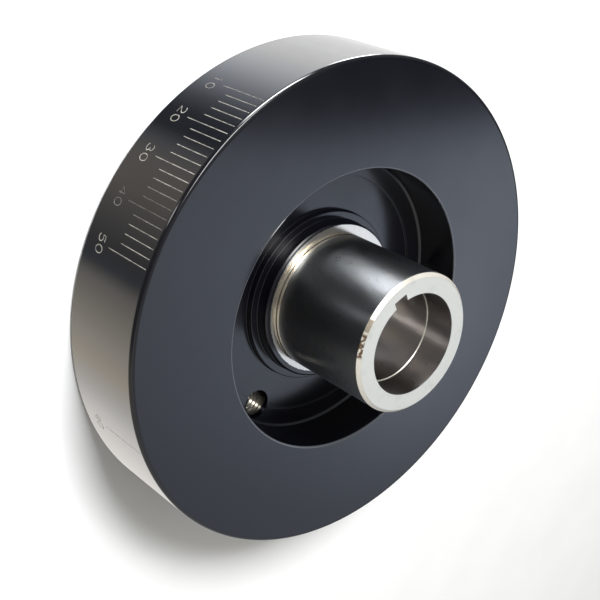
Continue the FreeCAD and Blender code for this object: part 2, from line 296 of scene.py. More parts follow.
def worn_patch(material, middle, half, fade, colour, specks=1.0):
    """Another colour within so many degrees of an angle round the axis, broken up into specks."""
    tree = material.node_tree
    place = object_place(tree)
    aside = apart_from(tree, angle_of(tree, place), middle)
    inside = spread(tree, aside, half, half + fade, 1.0, 0.0)
    broken = spread(tree, noise(tree, place, 800, detail=4.0), 0.38, 0.52, 1.0 - specks, 1.0)
    paint_over(material, sums(tree, "MULTIPLY", inside, broken), colour)


worn_patch(chamfer_steel, middle=125.5, half=4.5, fade=1.5, colour=(0.42, 0.36, 0.28), specks=0.2)
worn_patch(chamfer_steel, middle=142, half=8, fade=3, colour=(0.16, 0.1, 0.055))
# Painted highlight: a solid white crescent on the recess's edge, about 108 degrees round, where the edge's
# rounding catches the light.
worn_patch(worn_edge, middle=108, half=2.5, fade=2.5, colour=(1, 1, 1), specks=0)

COAT_STEP = 0.04 * MM


def leave_coated(material, bare_radius, shift, shift_angle, ragged):
    """Coats the bare steel again outside a ragged circle, whose centre is shifted towards the angle."""
    tree = material.node_tree
    steel = tree.nodes["Principled BSDF"]
    place = object_place(tree)
    centre = (shift * math.cos(shift_angle), shift * math.sin(shift_angle), 0)
    moved = place_node(tree, "ShaderNodeVectorMath", {0: place, 1: centre}, operation="SUBTRACT").outputs[0]
    tear = spread(tree, noise(tree, place, 1500, detail=4.0, roughness=0.6), 0.3, 0.7, -ragged, ragged)
    torn = sums(tree, "ADD", from_axis(tree, moved), tear)
    coated = spread(tree, torn, bare_radius, bare_radius + COAT_STEP)
    inputs = {"Base Color": (*COATING, 1), "Roughness": RECESS_ROUGHNESS, "IOR": COATING_IOR}
    black = place_node(tree, "ShaderNodeBsdfPrincipled", inputs)
    both = place_node(tree, "ShaderNodeMixShader", {0: coated, 1: steel.outputs[0], 2: black.outputs[0]})
    tree.links.new(both.outputs[0], tree.nodes["Material Output"].inputs["Surface"])


leave_coated(
    shoulder_steel, bare_radius=24.6 * MM, shift=0.7 * MM, shift_angle=math.radians(18), ragged=0.12 * MM
)

# Each corner is a radius, a height, the size of its rounding, and the finish from there to the next corner.
HOUSING_OUTLINE = [
    (WASHER, DISH, 0.2 * MM, recess_coating),
    (RECESS, DISH, 0.6 * MM, recess_coating),
    (RECESS, 0, 0.3 * MM, face_coating),
    (COVER_IN - WELD, 0, 0, face_coating),
    (COVER_IN, WELD, 0, face_coating),
    (COVER_IN, COVER, 0, face_coating),
    (CHAMBER_IN, COVER, 0, face_coating),
    (CHAMBER_IN, CHAMBER_TOP, 0.3 * MM, face_coating),
    (CHAMBER_OUT, CHAMBER_TOP, 0.3 * MM, face_coating),
    (CHAMBER_OUT, COVER, 0, face_coating),
    (COVER_OUT, COVER, 0, face_coating),
    (COVER_OUT, WELD, 0, face_coating),
    (COVER_OUT + WELD, 0, 0, face_coating),
    (RIM - PULLEY_CHAMFER, 0, 0.2 * MM, rim_coating),
    (RIM, PULLEY_CHAMFER, 0.2 * MM, rim_coating),
    (RIM, ENGINE_FACE, ENGINE_EDGE, face_coating),
    (RECESS, ENGINE_FACE, RECESS_EDGE, worn_edge),
    (RECESS, ENGINE_FACE - WORN_DEPTH, 0, recess_coating),
    (RECESS, WEB + RECESS_CORNER, 0.5 * MM, recess_coating),
    (RECESS - RECESS_CORNER, WEB, 0.5 * MM, recess_coating),
    (RELIEF_EDGE, WEB, 0.1 * MM, recess_coating),
    (RELIEF_EDGE, WEB - RELIEF, 0.15 * MM, recess_coating),
    (BOSS_STEP, WEB - RELIEF, 0.25 * MM, recess_coating),
    (BOSS_STEP, STEP_FACE, 0.25 * MM, recess_coating),
    (BOSS, STEP_FACE, 0.3 * MM, recess_coating),
    (BOSS, SHOULDER - BOSS_CHAMFER, 0.15 * MM, recess_coating),
    (BOSS - BOSS_CHAMFER, SHOULDER, 0.15 * MM, shoulder_steel),
    # A thin groove at the snout's root, coated black inside: painted shade along the corner between the
    # shoulder and the snout.
    (ROOT_SHADE_GROOVE + SHADE_GROOVE_HALF, SHOULDER, 0, recess_coating),
    (ROOT_SHADE_GROOVE, SHOULDER - SHADE_GROOVE_DEPTH, 0, recess_coating),
    (ROOT_SHADE_GROOVE - SHADE_GROOVE_HALF, SHOULDER, 0, shoulder_steel),
    (SNOUT - GROOVE, SHOULDER, 0, shoulder_steel),
    (SNOUT - GROOVE, SHOULDER + GROOVE_WIDTH, 0.1 * MM, shoulder_steel),
    (SNOUT, SHOULDER + GROOVE_WIDTH + GROOVE, 0.1 * MM, snout_steel),
    (SNOUT, SNOUT_END - SNOUT_CHAMFER, 0.15 * MM, chamfer_steel),
    (SNOUT - SNOUT_CHAMFER, SNOUT_END, 0.12 * MM, end_steel),
    (MOUTH, SNOUT_END, 0.08 * MM, bore_steel),
    (MOUTH, SNOUT_END - MOUTH_LENGTH, 0, end_steel),
    (BORE, SNOUT_END - MOUTH_LENGTH - MOUTH_STEP, 0, bore_steel),
    (BORE, WASHER_SEAT, 0.1 * MM, recess_coating),
    (WASHER, WASHER_SEAT, 0.2 * MM, recess_coating),
]


def rounded(outline):
    """Points of the closed outline, with an arc at each corner and a point beside it to hold the shading."""
    points = []
    for i, (radius, height, size, finish) in enumerate(outline):
        corner = Vector((radius, height))
        before = Vector(outline[i - 1][:2])
        after = Vector(outline[(i + 1) % len(outline)][:2])
        if not size:
            points.append((*corner, finish))
            continue
        came = (before - corner).normalized()
        goes = (after - corner).normalized()
        cut = size * math.tan((math.pi - came.angle(goes)) / 2)
        points.append((*(corner + came * (cut + HOLD)), outline[i - 1][3]))
        middle = corner + (came + goes).normalized() * math.hypot(cut, size)
        start, end = corner + came * cut - middle, corner + goes * cut - middle
        steps = 2 + math.ceil(size / ARC_STEP_SIZE)
        for step in range(steps + 1):
            spot = middle + start.slerp(end, step / steps).normalized() * size
            points.append((*spot, finish))
        points.append((*(corner + goes * (cut + HOLD)), finish))
    return points


def link_mesh(name, mesh):
    """An object of the mesh, in the scene."""
    made = bpy.data.objects.new(name, mesh)
    bpy.context.scene.collection.objects.link(made)
    return made


def turned(name, points, columns=COLUMNS, centre=(0, 0)):
    """A closed solid turned about the axis through the centre. Its UV runs round it and along its outline."""
    finishes = list(dict.fromkeys(finish for *_, finish in points))
    count = len(points)
    spots = []
    for column in range(columns):
        angle = math.tau * column / columns
        for radius, height, _ in points:
            x, y = centre[0] + radius * math.cos(angle), centre[1] + radius * math.sin(angle)
            spots.append((x, y, height))
    faces = []
    for column in range(columns):
        here, there = column * count, (column + 1) % columns * count
        for i in range(count):
            following = (i + 1) % count
            faces.append((here + i, there + i, there + following, here + following))
    mesh = bpy.data.meshes.new(name)
    mesh.from_pydata(spots, [], faces)
    travelled = [0.0]
    for i in range(count):
        a, b = points[i], points[(i + 1) % count]
        travelled.append(travelled[-1] + math.dist(a[:2], b[:2]))
    layer = mesh.uv_layers.new(name="turned").data
    for number, polygon in enumerate(mesh.polygons):
        column, i = divmod(number, count)
        polygon.material_index = finishes.index(points[i][2])
        polygon.use_smooth = True
        corners = ((column, i), (column + 1, i), (column + 1, i + 1), (column, i + 1))
        for loop, (across, along) in zip(polygon.loop_indices, corners):
            layer[loop].uv = (across / columns, travelled[along] / UV_LENGTH)
    for finish in finishes:
        mesh.materials.append(finish)
    outwards(mesh)
    return link_mesh(name, mesh)


def outwards(mesh):
    """Turns the faces of a closed mesh to the outside."""
    work = bmesh.new()
    work.from_mesh(mesh)
    bmesh.ops.recalc_face_normals(work, faces=work.faces)
    work.to_mesh(mesh)
    work.free()


def box_mesh(name, low, high, material):
    """A box between two corners."""
    work = bmesh.new()
    bmesh.ops.create_cube(work, size=1)
    middle, size = (Vector(low) + Vector(high)) / 2, Vector(high) - Vector(low)
    bmesh.ops.transform(work, matrix=Matrix.LocRotScale(middle, None, size), verts=work.verts)
    mesh = bpy.data.meshes.new(name)
    work.to_mesh(mesh)
    work.free()
    mesh.materials.append(material)
    return link_mesh(name, mesh)


def settle(made):
    """Applies the modifiers, so that only a plain mesh is left."""
    seen = made.evaluated_get(bpy.context.evaluated_depsgraph_get())
    mesh = bpy.data.meshes.new_from_object(seen)
    made.modifiers.clear()
    made.data = mesh
    return mesh


TAP_CHAMFER = 0.5 * MM
TAP_COLUMNS = 72
TAP_AXIS = 0.001 * MM
OVERSHOOT = 0.8 * MM
SHARP = math.radians(32)
housing = turned("housing_turned", rounded(HOUSING_OUTLINE))
keyway_low = (-KEY_HALF, 0, -OVERSHOOT)
keyway_high = (KEY_HALF, KEY_FLOOR, SNOUT_END + OVERSHOOT)
cutters = [box_mesh("keyway_cutter", keyway_low, keyway_high, bore_steel)]
tap_outline = [
    (TAP_AXIS, DISH - OVERSHOOT, recess_coating),
    (TAPPED_HOLE + TAP_CHAMFER + OVERSHOOT, DISH - OVERSHOOT, recess_coating),
    (TAPPED_HOLE, DISH + TAP_CHAMFER, recess_coating),
    (TAPPED_HOLE, WEB + OVERSHOOT, recess_coating),
    (TAP_AXIS, WEB + OVERSHOOT, recess_coating),
]
for angle in TAPPED_ANGLES:
    centre = (TAPPED_CIRCLE * math.cos(angle), TAPPED_CIRCLE * math.sin(angle))
    cutters.append(turned("tap_cutter", tap_outline, columns=TAP_COLUMNS, centre=centre))
for cutter in cutters:
    cut = housing.modifiers.new(cutter.name, "BOOLEAN")
    cut.operation = "DIFFERENCE"
    cut.solver = "EXACT"
    cut.material_mode = "TRANSFER"
    cut.object = cutter
settle(housing).set_sharp_from_angle(angle=SHARP)
for cutter in cutters:
    bpy.data.objects.remove(cutter)
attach(housing, "housing")
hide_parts("housing")

# Threads. Three 3/8 in coarse threads tapped right through the web for the pulley's bolts. Their steel is
# bare low down and painted the coating's black near the holes' mouths, as painted shade. Each is a ridge that
# winds down its hole.
THREAD_PITCH = 25.4 / 16 * MM
THREAD_DEPTH = 0.75 * MM
THREAD_FOOT_HALF = 0.47 * THREAD_PITCH
THREAD_CREST_HALF = 0.07 * THREAD_PITCH
THREAD_LIFT = 0.02 * MM
THREAD_STEPS = 48
THREAD_UNSHADED_BELOW = WEB - 5 * MM
THREAD_PAINTED_SHADE_ABOVE = WEB - 1 * MM
thread_steel = bare_steel("thread_steel", (0.34, 0.315, 0.27), 0.17, metallic=0.95, marks_along_axis=True)
tree = thread_steel.node_tree
height = height_of(tree, object_place(tree))
# Painted shade: black over the top of each thread, fading to bare steel from 1 to 5 mm below the web.
paint_over(thread_steel, spread(tree, height, THREAD_UNSHADED_BELOW, THREAD_PAINTED_SHADE_ABOVE), COATING)


def add_tree(name, sizes):
    """An empty geometry tree with a named input for each size, and its input and output nodes."""
    tree = bpy.data.node_groups.new(name, "GeometryNodeTree")
    tree.interface.new_socket("Geometry", in_out="OUTPUT", socket_type="NodeSocketGeometry")
    for label, size in sizes.items():
        if isinstance(size, bpy.types.Material):
            kind = "NodeSocketMaterial"
        else:
            kind = "NodeSocketInt" if isinstance(size, int) else "NodeSocketFloat"
        tree.interface.new_socket(label, in_out="INPUT", socket_type=kind)
    return tree, tree.nodes.new("NodeGroupInput").outputs, tree.nodes.new("NodeGroupOutput").inputs


def finish_tree(tree, output, geometry, material):
    """Ends the tree in plain geometry with the material set."""
    real = place_node(tree, "GeometryNodeRealizeInstances", {0: geometry}).outputs[0]
    painted = place_node(tree, "GeometryNodeSetMaterial", {"Geometry": real, "Material": material}).outputs[0]
    tree.links.new(painted, output["Geometry"])


def grow(name, tree, sizes):
    """A plain mesh object made by the tree with these sizes."""
    made = link_mesh(name, bpy.data.meshes.new(name))
    modifier = made.modifiers.new(tree.name, "NODES")
    modifier.node_group = tree
    for item in tree.interface.items_tree:
        if item.in_out == "INPUT":
            modifier[item.identifier] = sizes[item.name]
    settle(made)
    return made


def around(tree, count, first, step, radius, height):
    """Points round the crank axis, the turn about it of each, and their numbers."""
    index = place_node(tree, "GeometryNodeInputIndex").outputs[0]
    angle = sums(tree, "ADD", first, sums(tree, "MULTIPLY", index, step))
    x = sums(tree, "MULTIPLY", radius, sums(tree, "COSINE", angle))
    y = sums(tree, "MULTIPLY", radius, sums(tree, "SINE", angle))
    spot = place_node(tree, "ShaderNodeCombineXYZ", {"X": x, "Y": y, "Z": height}).outputs[0]
    turn = place_node(tree, "ShaderNodeCombineXYZ", {"Z": angle}).outputs[0]
    points = place_node(tree, "GeometryNodePoints", {"Count": count, "Position": spot}).outputs[0]
    return points, turn, index


thread_sizes = {
    "Holes": len(TAPPED_ANGLES), "First angle": TAPPED_ANGLES[0], "Circle": TAPPED_CIRCLE,
    "Start height": DISH, "Foot radius": TAPPED_HOLE + THREAD_LIFT,
    "Crest radius": TAPPED_HOLE - THREAD_DEPTH, "Foot half": THREAD_FOOT_HALF,
    "Crest half": THREAD_CREST_HALF, "Pitch": THREAD_PITCH,
    "Turns": (WEB - DISH - TAP_CHAMFER) / THREAD_PITCH, "Steps": THREAD_STEPS, "Steel": thread_steel,
}
tree, given, output = add_tree("tapped_threads", thread_sizes)
middle = sums(tree, "DIVIDE", sums(tree, "ADD", given["Foot radius"], given["Crest radius"]), 2.0)
inputs = {
    "Resolution": given["Steps"], "Rotations": given["Turns"], "Start Radius": middle, "End Radius": middle,
    "Height": sums(tree, "MULTIPLY", given["Turns"], given["Pitch"]),
}
spiral = place_node(tree, "GeometryNodeCurveSpiral", inputs).outputs[0]
helix = place_node(tree, "GeometryNodeSetCurveNormal", {"Curve": spiral}, mode="Z_UP").outputs[0]
crest = sums(tree, "SUBTRACT", given["Foot radius"], middle)
foot = sums(tree, "MULTIPLY", crest, -1.0)
section_spots = [
    place_node(tree, "ShaderNodeCombineXYZ", {"X": inward, "Y": up}).outputs[0]
    for inward, up in (
        (foot, sums(tree, "MULTIPLY", given["Foot half"], -1.0)), (foot, given["Foot half"]),
        (crest, given["Crest half"]), (crest, sums(tree, "MULTIPLY", given["Crest half"], -1.0)),
    )
]
section = place_node(tree, "GeometryNodeCurvePrimitiveQuadrilateral", mode="POINTS")
for socket, spot in zip(("Point 1", "Point 2", "Point 3", "Point 4"), section_spots):
    tree.links.new(spot, section.inputs[socket])
inputs = {"Curve": helix, "Profile Curve": section.outputs[0], "Fill Caps": True}
ridge = place_node(tree, "GeometryNodeCurveToMesh", inputs).outputs[0]
apart = sums(tree, "DIVIDE", math.tau, given["Holes"])
holes = (given["Holes"], given["First angle"], apart, given["Circle"], given["Start height"])
points, turn, _ = around(tree, *holes)
inputs = {"Points": points, "Instance": ridge, "Rotation": turn}
wound = place_node(tree, "GeometryNodeInstanceOnPoints", inputs).outputs[0]
finish_tree(tree, output, wound, given["Steel"])
threads = grow("tapped_threads", tree, thread_sizes)
outwards(threads.data)
threads.data.set_sharp_from_angle(angle=SHARP)
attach(threads, "housing")

# Timing marks. Burnt into the rim's coating by laser: a tick every 2 degrees from 10 to 50, longer at each
# ten with its number beyond, and one more line a quarter turn from zero. They are flush, so each lies a hair
# above the rim. Near 40 they are painted fainter, as painted shade, and they are faint at the start.
MARK_LIFT = 0.012 * MM
MARK_WIDTH = 0.2 * MM
ZERO_ANGLE = math.radians(83)
TICK_DEGREES = 2
FIRST_TICK = 10
LAST_TICK = 50
MARK_START = 1.65 * MM
SHORT_TICK = 13.6 * MM
LONG_TICK = 18.1 * MM
INDEX_ANGLE = ZERO_ANGLE + math.radians(90.5)
INDEX_START = 1.7 * MM
INDEX_LENGTH = 18.3 * MM
PAINTED_SHADE_ANGLE = 122
MARK_COLOUR = (0.42, 0.4, 0.35)
marks, tree, shader, place = new_material("laser_marks", 0, 0.6, MARK_COLOUR)
mark_angle = angle_of(tree, place)
# Painted shade: the marks fade to 30 % of their strength within a few degrees of 122, that is near 40.
painted_shade = spread(tree, apart_from(tree, mark_angle, PAINTED_SHADE_ANGLE), 1, 7, 0.3, 1.0)
first_faint = spread(tree, mark_angle, 90, 101, 0.45, 1.0)
burnt = spread(tree, noise(tree, place, 700, detail=4.0), 0.35, 0.6, 0.45, 1.0)
strength = sums(tree, "MULTIPLY", burnt, sums(tree, "MULTIPLY", painted_shade, first_faint))
link(tree, mixed(tree, strength, COATING, MARK_COLOUR), shader, "Base Color")

tick_sizes = {
    "Ticks": (LAST_TICK - FIRST_TICK) // TICK_DEGREES + 1,
    "First angle": ZERO_ANGLE + math.radians(FIRST_TICK), "Step": math.radians(TICK_DEGREES),
    "Ticks to a long one": 5, "Radius": RIM, "Start": ENGINE_FACE - MARK_START,
    "Short": SHORT_TICK, "Long": LONG_TICK, "Width": MARK_WIDTH, "Lift": MARK_LIFT, "Marks": marks,
}
tree, given, output = add_tree("timing_ticks", tick_sizes)
ring = (given["Ticks"], given["First angle"], given["Step"], given["Radius"], given["Start"])
points, turn, index = around(tree, *ring)
is_long = sums(tree, "LESS_THAN", sums(tree, "MODULO", index, given["Ticks to a long one"]), 0.5)
longer = sums(tree, "SUBTRACT", given["Long"], given["Short"])
reach = sums(tree, "ADD", given["Short"], sums(tree, "MULTIPLY", is_long, longer))
thick = sums(tree, "MULTIPLY", given["Lift"], 2.0)
inputs = {"X": thick, "Y": given["Width"], "Z": 1.0}
block_size = place_node(tree, "ShaderNodeCombineXYZ", inputs).outputs[0]
block = place_node(tree, "GeometryNodeMeshCube", {"Size": block_size}).outputs[0]
hung = place_node(tree, "GeometryNodeTransform", {"Geometry": block, "Translation": (0, 0, -0.5)}).outputs[0]
scale = place_node(tree, "ShaderNodeCombineXYZ", {"X": 1.0, "Y": 1.0, "Z": reach}).outputs[0]
inputs = {"Points": points, "Instance": hung, "Rotation": turn, "Scale": scale}
ticks = place_node(tree, "GeometryNodeInstanceOnPoints", inputs).outputs[0]
finish_tree(tree, output, ticks, given["Marks"])
timing_ticks = grow("timing_ticks", tree, tick_sizes)
index_sizes = {
    **tick_sizes, "Ticks": 1, "First angle": INDEX_ANGLE, "Start": ENGINE_FACE - INDEX_START,
    "Long": INDEX_LENGTH,
}
index_line = grow("index_line", tree, index_sizes)
for lines in (timing_ticks, index_line):
    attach(lines, "housing")

# Numbers beside the long ticks, burnt as single strokes of one width. They read in the direction of rising
# degrees, with their heads towards the engine side.
DIGIT_HEIGHT = 3.1 * MM
DIGIT_WIDTH = 2.2 * MM
DIGIT_GAP = 1.0 * MM
NUMBER_HEAD = 22.3 * MM
STROKE = 0.27 * MM
ARC_STEP = math.radians(12)


def arc(x, y, wide, high, start, end):
    """Points on an ellipse from one angle to another, in degrees."""
    start, end = math.radians(start), math.radians(end)
    count = max(2, round(abs(end - start) / ARC_STEP))
    angles = [start + (end - start) * i / count for i in range(count + 1)]
    return [(x + wide * math.cos(a), y + high * math.sin(a)) for a in angles]


# Strokes of each digit in a box one wide and one high.
DIGITS = {
    "0": [arc(0.5, 0.5, 0.5, 0.5, 90, 450)],
    "1": [[(0.25, 0.8), (0.55, 1), (0.55, 0)]],
    "2": [arc(0.5, 0.72, 0.45, 0.28, 170, -35) + [(0.02, 0), (1, 0)]],
    "3": [arc(0.46, 0.75, 0.42, 0.25, 155, -90) + arc(0.46, 0.26, 0.5, 0.26, 75, -155)],
    "4": [[(0.75, 0), (0.75, 1), (0, 0.3), (1, 0.3)]],
    "5": [[(0.92, 1), (0.2, 1), (0.12, 0.55)] + arc(0.48, 0.33, 0.48, 0.33, 130, -150)],
    "9": [arc(0.5, 0.67, 0.46, 0.33, 0, 360) + arc(0.46, 0.55, 0.5, 0.55, 0, -75)],
}


def stroke_faces(work, path, bend):
    """A ribbon along the path, one stroke wide, with every point taken through bend."""
    spots = [Vector(point) for point in path]
    closed = (spots[0] - spots[-1]).length < 1e-9
    if closed:
        spots.pop()
    sides = []
    for i, spot in enumerate(spots):
        before = spots[i - 1] if i or closed else spot
        after = spots[(i + 1) % len(spots)] if i < len(spots) - 1 or closed else spot
        way = (after - before).normalized()
        out = Vector((-way.y, way.x)) * STROKE / 2
        sides.append([work.verts.new(bend(*(spot + out))), work.verts.new(bend(*(spot - out)))])
    pairs = list(zip(sides, sides[1:] + sides[:1])) if closed else list(zip(sides, sides[1:]))
    for (a, b), (c, d) in pairs:
        work.faces.new((a, b, d, c))


def write_on_rim(name, text, angle, head):
    """The number laid round the rim, centred at the angle, with its head this far from the engine side."""
    work = bmesh.new()
    whole = len(text) * DIGIT_WIDTH + (len(text) - 1) * DIGIT_GAP

    def bend(along, up):
        turned_to = angle + (along - whole / 2) / RIM
        out = RIM + MARK_LIFT
        height = ENGINE_FACE - head - DIGIT_HEIGHT + up
        return Vector((out * math.cos(turned_to), out * math.sin(turned_to), height))

    for digit_place, digit in enumerate(text):
        left = digit_place * (DIGIT_WIDTH + DIGIT_GAP)
        for path in DIGITS[digit]:
            stroke_faces(work, [(left + x * DIGIT_WIDTH, y * DIGIT_HEIGHT) for x, y in path], bend)
    mesh = bpy.data.meshes.new(name)
    work.to_mesh(mesh)
    work.free()
    mesh.materials.append(marks)
    made = link_mesh(name, mesh)
    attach(made, "housing")


for degrees in range(FIRST_TICK, LAST_TICK + 1, 10):
    write_on_rim(f"number_{degrees}", str(degrees), ZERO_ANGLE + math.radians(degrees), NUMBER_HEAD)
write_on_rim("number_90", "90", INDEX_ANGLE, NUMBER_HEAD)

# Front cover. A flat steel ring that closes the fluid chamber on the pulley side. It is coated with the
# housing after it has been welded in, so it has the same black gloss.
cover_coating = coating("cover_coating", 0.15, uneven=0.04)
nodes["front_cover"].material_slots[0].material = cover_coating

# Welds. Two seams seal the cover into the housing. Each is a row of small overlapping beads laid in a vee,
# just below the pulley-side face, and is coated as welded.
WELD_SINK = 0.15 * MM
BEAD_LENGTH = 1.1 * MM
BEAD_STEP = 0.75 * MM
BEAD_RISE = 0.11 * MM
BEAD_SEGMENTS = 10
BEAD_RINGS = 6
WELD_DARK = (0.012, 0.012, 0.014)
WELD_BROWN = (0.05, 0.042, 0.034)
weld_coating, tree, shader, place = new_material("weld_coating", 0.3, 0.3, WELD_DARK, COATING_IOR)
scale_marks = noise(tree, place, 700, detail=4.0)
link(tree, mixed(tree, scale_marks, WELD_DARK, WELD_BROWN), shader, "Base Color")
link(tree, spread(tree, scale_marks, 0.3, 0.7, 0.22, 0.42), shader, "Roughness")
weld_sizes = {
    "Seam radius": COVER_OUT, "Surface": WELD_SINK, "Across": WELD - WELD_SINK, "Length": BEAD_LENGTH,
    "Step": BEAD_STEP, "Rise": BEAD_RISE, "Segments": BEAD_SEGMENTS, "Rings": BEAD_RINGS,
    "Metal": weld_coating,
}
tree, given, output = add_tree("weld_beads", weld_sizes)
seam = sums(tree, "MULTIPLY", given["Seam radius"], math.tau)
beads = sums(tree, "ROUND", sums(tree, "DIVIDE", seam, given["Step"]))
apart = sums(tree, "DIVIDE", math.tau, beads)
points, turn, _ = around(tree, beads, 0.0, apart, given["Seam radius"], given["Surface"])
inputs = {"Segments": given["Segments"], "Rings": given["Rings"], "Radius": 1.0}
ball = place_node(tree, "GeometryNodeMeshUVSphere", inputs).outputs[0]
half_length = sums(tree, "MULTIPLY", given["Length"], 0.5)
inputs = {"X": given["Across"], "Y": half_length, "Z": given["Rise"]}
bead_size = place_node(tree, "ShaderNodeCombineXYZ", inputs).outputs[0]
inputs = {"Points": points, "Instance": ball, "Rotation": turn, "Scale": bead_size}
laid = place_node(tree, "GeometryNodeInstanceOnPoints", inputs).outputs[0]
smooth = place_node(tree, "GeometryNodeSetShadeSmooth", {"Geometry": laid}).outputs[0]
finish_tree(tree, output, smooth, given["Metal"])
for weld, seam_radius in (("outer_weld", COVER_OUT), ("inner_weld", COVER_IN)):
    nodes[weld].material_slots[0].material = weld_coating
    weld_beads = grow(f"{weld}_beads", tree, {**weld_sizes, "Seam radius": seam_radius})
    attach(weld_beads, "housing")

# Filling plugs. Two zinc-plated socket screws in the cover. The silicone fluid goes in through one while the
# air comes out at the other, and then both are screwed in for good.
plug_zinc = bare_steel("plug_zinc", (0.62, 0.63, 0.62), 0.28, stain=(0.5, 0.47, 0.36), stained=0.4)
for plug in ("fill_plug", "vent_plug"):
    nodes[plug].material_slots[0].material = plug_zinc

# Inertia ring and its bearings, inside the sealed chamber: a turned steel ring that floats in the fluid, a
# bronze band in its bore, and nylon buttons set in pockets of its two faces.
ring_steel = bare_steel("ring_steel", (0.5, 0.49, 0.47), 0.38, stained=0.2)
nodes["inertia_ring"].material_slots[0].material = ring_steel
bearing_bronze = bare_steel("bearing_bronze", (0.66, 0.45, 0.24), 0.34, stain=(0.4, 0.22, 0.1), stained=0.5)
nodes["journal_bearing"].material_slots[0].material = bearing_bronze
NYLON = (0.7, 0.65, 0.52)
PALE_NYLON = (0.8, 0.77, 0.67)
pad_nylon, tree, shader, place = new_material("pad_nylon", 0, 0.45, NYLON)
flow = noise(tree, place, 260, detail=3.0)
link(tree, mixed(tree, flow, NYLON, PALE_NYLON), shader, "Base Color")
link(tree, spread(tree, flow, 0.3, 0.7, 0.38, 0.54), shader, "Roughness")
bump(tree, shader, noise(tree, place, 1900), 0.004 * MM)
for name, pad in nodes.items():
    if name.startswith("thrust_pad"):
        pad.material_slots[0].material = pad_nylon

# Floor and light. A pale sheet under the balancer, lit by a soft box and a white dome. The polished surfaces
# mirror a studio instead: pale walls low down, a dim room above them, and bright strip lights.
FLOOR_HALF = 2.0
FLOOR_LEVEL = -0.1 * MM
floor_mesh = bpy.data.meshes.new("floor")
floor_corners = ((-1, -1), (1, -1), (1, 1), (-1, 1))
floor_spots = [(x * FLOOR_HALF, y * FLOOR_HALF, FLOOR_LEVEL) for x, y in floor_corners]
floor_mesh.from_pydata(floor_spots, [], [(0, 1, 2, 3)])
floor = link_mesh("floor", floor_mesh)
DULL_WHITE = (0.89, 0.89, 0.89)
CLEAN_WHITE = (0.91, 0.91, 0.91)
floor_paint, tree, shader, place = new_material("floor_paint", 0, 1.0, CLEAN_WHITE)
shader.inputs["Specular IOR Level"].default_value = 0
grain = spread(tree, noise(tree, place, 40, detail=3.0), 0.3, 0.7)
link(tree, mixed(tree, grain, DULL_WHITE, CLEAN_WHITE), shader, "Base Color")
glossy_ray = place_node(tree, "ShaderNodeLightPath").outputs["Is Glossy Ray"]
through = place_node(tree, "ShaderNodeBsdfTransparent").outputs[0]
seen = place_node(tree, "ShaderNodeMixShader", {0: glossy_ray, 1: shader.outputs[0], 2: through})
tree.links.new(seen.outputs[0], tree.nodes["Material Output"].inputs["Surface"])
floor_mesh.materials.append(floor_paint)

# What the gloss mirrors, as rings of light at six heights in degrees. Each stop is a bearing in degrees, a
# level and a warmth.
DIM_ROOM = [
    (-180, 0.42, 1.1), (-140, 0.45, 1.0), (-108, 0.42, 0.95), (-92, 0.35, 0.9), (-60, 0.2, 0.9),
    (-30, 0.12, 0.9), (0, 0.2, 0.95), (30, 0.26, 0.95), (60, 0.26, 0.95), (90, 0.16, 0.95), (150, 0.12, 1.0),
    (168, 0.14, 1.0), (180, 0.42, 1.1),
]
STUDIO = {
    -42: [
        (-180, 1.14, 1.15), (-168, 1.42, 1.15), (-155, 1.54, 1.2), (-140, 1.76, 1.05), (-128, 1.97, 1.05),
        (-116, 1.8, 1.05), (-104, 1.48, 1.05), (-90, 1.1, 1.05), (-76, 0.8, 1.0), (-36, 1.1, 1.0),
        (-20, 1.37, 1.0), (-4, 1.75, 1.0), (8, 2.05, 1.0), (20, 2.24, 1.0), (30, 2.12, 0.97), (38, 1.8, 0.93),
        (46, 1.35, 0.92), (54, 0.88, 0.9), (62, 0.42, 0.88), (72, 0.16, 0.88), (84, 0.12, 0.9),
        (92, 0.47, 0.95), (102, 0.66, 1.12), (118, 0.62, 1.15), (134, 0.4, 1.08), (148, 0.23, 1.0),
        (158, 0.22, 0.9), (165, 0.78, 1.1), (180, 1.14, 1.15),
    ],
    -28: DIM_ROOM,
    28: DIM_ROOM,
    36: [
        (-180, 0.5, 1.05), (-110, 0.45, 0.95), (-80, 0.42, 0.88), (-74, 0.52, 0.84), (-70, 0.72, 0.84),
        (-66, 1.08, 0.84), (-61, 1.32, 0.84), (-54, 1.25, 0.84), (-47.5, 1.2, 0.84), (-44.5, 0.09, 0.84),
        (0, 0.08, 0.9), (46, 0.25, 0.95), (58, 0.5, 1.0), (90, 0.5, 1.0), (104, 0.25, 1.0), (125, 0.15, 1.0),
        (165, 0.15, 1.0), (180, 0.5, 1.05),
    ],
    46: [
        (-180, 0.5, 1.05), (-100, 0.45, 0.95), (-76, 0.5, 0.84), (-66, 0.72, 0.84), (-58, 0.87, 0.84),
        (-49, 0.9, 0.84), (-45.5, 0.09, 0.84), (0, 0.08, 0.9), (46, 0.3, 0.95), (70, 0.5, 1.0),
        (100, 0.3, 1.0), (125, 0.15, 1.0), (165, 0.12, 1.0), (180, 0.5, 1.05),
    ],
    70: [(-180, 0.3, 1.0), (0, 0.3, 1.0), (180, 0.3, 1.0)],
}
# Strip lights: bearing at the horizon, how far it leans in each degree of height, half width, lowest and
# highest degree, softness, level.
STRIPS = [
    (19.5, 1.5, 8, 28, 58, 5, 9.0), (64, 0, 9, -17, 5, 9, 21.0), (121, 0, 2, -17, 5, 3, 4.0),
    (15, 0, 7, -40, -34, 4, 26.0),
]
STRIP_FADE = 4
BRIGHTEST = 6.0
# Warmth lowers the blue in full, and raises the red by this power of it.
TINT = 0.6
# The rings turn a little with height, because the light bands on the face run aslant.
LEAN_FROM = 45
LEAN_LEAST = -15.0
LEAN = 0.5

